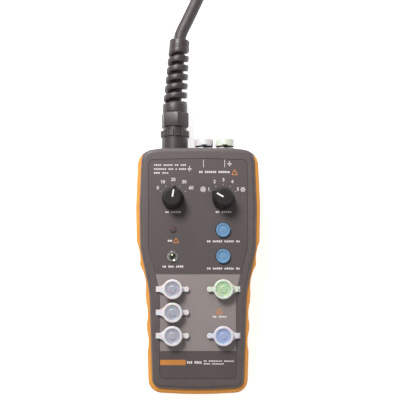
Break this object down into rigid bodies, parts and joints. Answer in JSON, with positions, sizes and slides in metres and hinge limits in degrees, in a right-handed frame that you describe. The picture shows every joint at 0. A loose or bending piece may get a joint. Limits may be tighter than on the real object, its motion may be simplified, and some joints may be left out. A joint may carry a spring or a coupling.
{
  "type": "charging station test adapter",
  "caption": "Handheld tester with two rotary selectors, push buttons, capped 4 mm sockets, a soft side grip and a lead with a spiral bend relief.",
  "frame": {"origin": "middle of the case's flat back, on the surface that it rests on", "axes": "+X across the case, +Y towards the end with the lead, +Z out of the control panel"},
  "size_m": [0.1547, 0.5451, 0.0616],
  "materials": {
    "shell_plastic": "fine-grained warm dark grey",
    "grip_rubber": "soft orange-yellow overmould",
    "panel_film": "printed polycarbonate film",
    "knob_plastic": "satin black",
    "button_plastic": "satin blue",
    "socket_plastic": "black polyamide",
    "cap_clear": "translucent soft plastic",
    "cap_green": "translucent soft plastic, tinted green",
    "cap_blue": "translucent soft plastic, tinted blue",
    "gland_plastic": "black polyamide",
    "lead_jacket": "black rubber jacket",
    "lamp_plastic": "dark glossy lens",
    "plated_metal": "bright nickel plate",
    "brass": "plated brass",
    "steel": "zinc-plated steel",
    "board": "glass-fibre laminate",
    "terminal_plastic": "green polyamide",
    "gasket_rubber": "soft seal",
    "wire": "insulated wire",
    "bulb_glass": "clear glass"
  },
  "bodies": {
    "case": {"board_screws": "steel", "cap_rings": "cap_clear", "case_gasket": "gasket_rubber", "case_screws": "steel", "connector_boot": "lead_jacket", "connector_insert": "gland_plastic", "connector_pins": "brass", "connector_shell": "gland_plastic", "cp_output_socket": "socket_plastic", "front_shell": "shell_plastic", "gland_body": "gland_plastic", "gland_collar": "gland_plastic", "gland_locknut": "gland_plastic", "gland_nut": "gland_plastic", "gland_seal": "gasket_rubber", "l1_socket": "socket_plastic", "l2_socket": "socket_plastic", "l3_socket": "socket_plastic", "lamp_bulb": "bulb_glass", "lamp_lens": "lamp_plastic", "lead_cable": "lead_jacket", "lead_conductors": "wire", "lead_core": "lead_jacket", "lower_button_spring": "steel", "lower_button_switch": "socket_plastic", "main_board": "board", "n_socket": "socket_plastic", "panel_overlay": "panel_film", "pe_output_socket": "socket_plastic", "pe_socket": "socket_plastic", "range_switch_body": "socket_plastic", "range_switch_nut": "brass", "rear_shell": "shell_plastic", "side_grip": "grip_rubber", "socket_contacts": "plated_metal", "socket_nuts": "brass", "state_switch_body": "socket_plastic", "state_switch_nut": "brass", "terminal_block": "terminal_plastic", "touch_electrode": "plated_metal", "touch_electrode_nut": "brass", "upper_button_spring": "steel", "upper_button_switch": "socket_plastic"},
    "range_selector": {"range_knob": "knob_plastic", "range_knob_cap": "knob_plastic", "range_switch_shaft": "steel"},
    "state_selector": {"state_knob": "knob_plastic", "state_knob_cap": "knob_plastic", "state_switch_shaft": "steel"},
    "upper_button": {"upper_button_cap": "button_plastic"},
    "lower_button": {"lower_button_cap": "button_plastic"},
    "l1_cap": {"l1_dust_cap": "cap_clear"},
    "l2_cap": {"l2_dust_cap": "cap_clear"},
    "l3_cap": {"l3_dust_cap": "cap_clear"},
    "pe_cap": {"pe_dust_cap": "cap_green"},
    "n_cap": {"n_dust_cap": "cap_blue"},
    "cp_output_cap": {"cp_output_dust_cap": "cap_clear"},
    "pe_output_cap": {"pe_output_dust_cap": "cap_green"}
  },
  "joints": [
    {"name": "range_turn", "type": "hinge", "parent": "case", "child": "range_selector", "pos_m": [-0.0215, 0.0618, 0.0447], "axis": [0, 0, 1], "range_deg": [-50, 70]},
    {"name": "state_turn", "type": "hinge", "parent": "case", "child": "state_selector", "pos_m": [0.0215, 0.0618, 0.0447], "axis": [0, 0, 1], "range_deg": [-120, 0]},
    {"name": "upper_button_press", "type": "slide", "parent": "case", "child": "upper_button", "axis": [0, 0, -1], "range_m": [0, 0.002], "stiffness_N_per_m": 600, "springref_m": -0.001, "deforming": ["upper_button_spring"]},
    {"name": "lower_button_press", "type": "slide", "parent": "case", "child": "lower_button", "axis": [0, 0, -1], "range_m": [0, 0.002], "stiffness_N_per_m": 600, "springref_m": -0.001, "deforming": ["lower_button_spring"]},
    {"name": "l1_cap_hinge", "type": "hinge", "parent": "case", "child": "l1_cap", "pos_m": [-0.0347, -0.0156, 0.0466], "axis": [0, -1, 0], "range_deg": [0, 120]},
    {"name": "l2_cap_hinge", "type": "hinge", "parent": "case", "child": "l2_cap", "pos_m": [-0.0347, -0.0353, 0.0466], "axis": [0, -1, 0], "range_deg": [0, 120]},
    {"name": "l3_cap_hinge", "type": "hinge", "parent": "case", "child": "l3_cap", "pos_m": [-0.0347, -0.055, 0.0466], "axis": [0, -1, 0], "range_deg": [0, 120]},
    {"name": "pe_cap_hinge", "type": "hinge", "parent": "case", "child": "pe_cap", "pos_m": [0.0347, -0.0156, 0.0466], "axis": [0, 1, 0], "range_deg": [0, 120]},
    {"name": "n_cap_hinge", "type": "hinge", "parent": "case", "child": "n_cap", "pos_m": [0.0347, -0.055, 0.0466], "axis": [0, 1, 0], "range_deg": [0, 120]},
    {"name": "cp_output_cap_hinge", "type": "hinge", "parent": "case", "child": "cp_output_cap", "pos_m": [0.0053, 0.1094, 0.0108], "axis": [-1, 0, 0], "range_deg": [0, 95]},
    {"name": "pe_output_cap_hinge", "type": "hinge", "parent": "case", "child": "pe_output_cap", "pos_m": [0.0235, 0.1094, 0.0108], "axis": [-1, 0, 0], "range_deg": [0, 95]}
  ]
}
